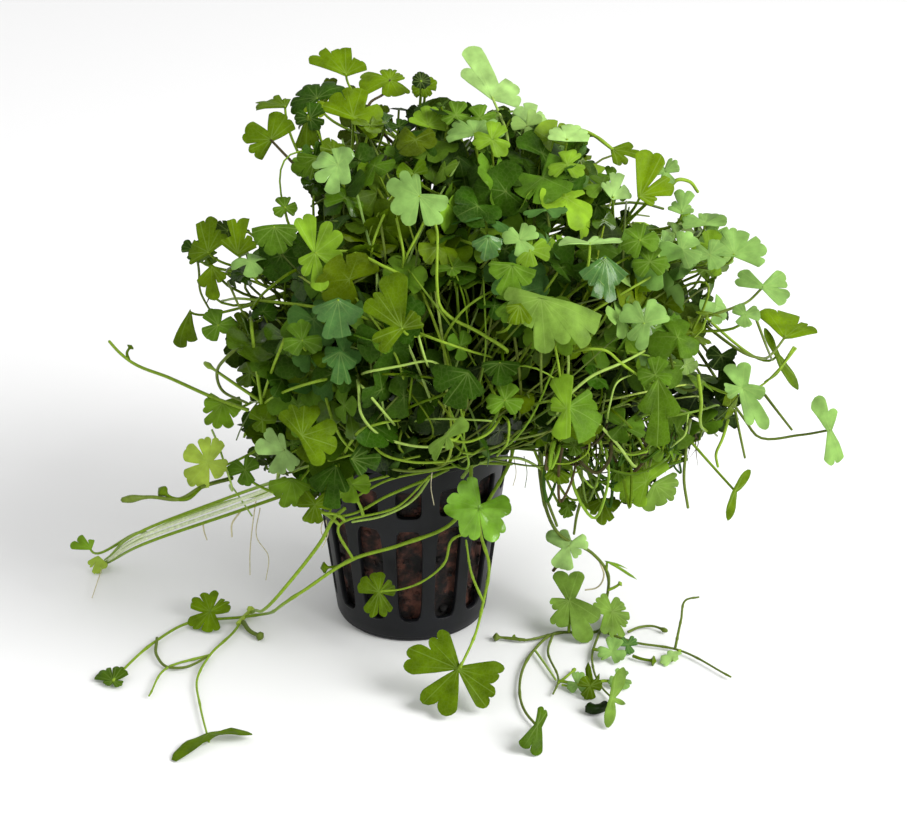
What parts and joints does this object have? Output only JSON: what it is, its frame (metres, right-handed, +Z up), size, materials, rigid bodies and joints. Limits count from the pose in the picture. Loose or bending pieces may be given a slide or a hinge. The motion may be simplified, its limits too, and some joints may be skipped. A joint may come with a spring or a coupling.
{
  "type": "potted pennywort",
  "caption": "Bushy three-lobed pennywort in a slotted black net pot, with creeping runners that hang over the rim and lie along the surface.",
  "frame": {"origin": "middle of the net pot's underside, on the surface that it stands on", "axes": "+Z up, +X to the right as seen from the front, -Y towards the viewer"},
  "size_m": [0.1717, 0.129, 0.1374],
  "materials": {
    "pot_plastic": "moulded black polypropylene, slightly glossy",
    "medium": "damp reddish-brown coir and clay crumbs",
    "leaf": "fresh green leaf and stalk tissue, satin and slightly translucent"
  },
  "bodies": {
    "root": {"net_pot": "pot_plastic", "growing_medium": "medium", "runner_left": "leaf", "runner_bundle": "leaf", "runner_front": "leaf", "runner_right": "leaf", "shoot_01": "leaf", "shoot_02": "leaf", "shoot_03": "leaf", "shoot_04": "leaf", "shoot_05": "leaf", "shoot_06": "leaf", "shoot_07": "leaf", "shoot_08": "leaf", "shoot_09": "leaf", "shoot_10": "leaf", "shoot_11": "leaf", "shoot_12": "leaf", "shoot_13": "leaf", "shoot_14": "leaf", "shoot_15": "leaf", "shoot_16": "leaf", "shoot_17": "leaf", "shoot_18": "leaf", "shoot_19": "leaf", "shoot_20": "leaf", "shoot_21": "leaf", "shoot_22": "leaf"}
  },
  "joints": []
}
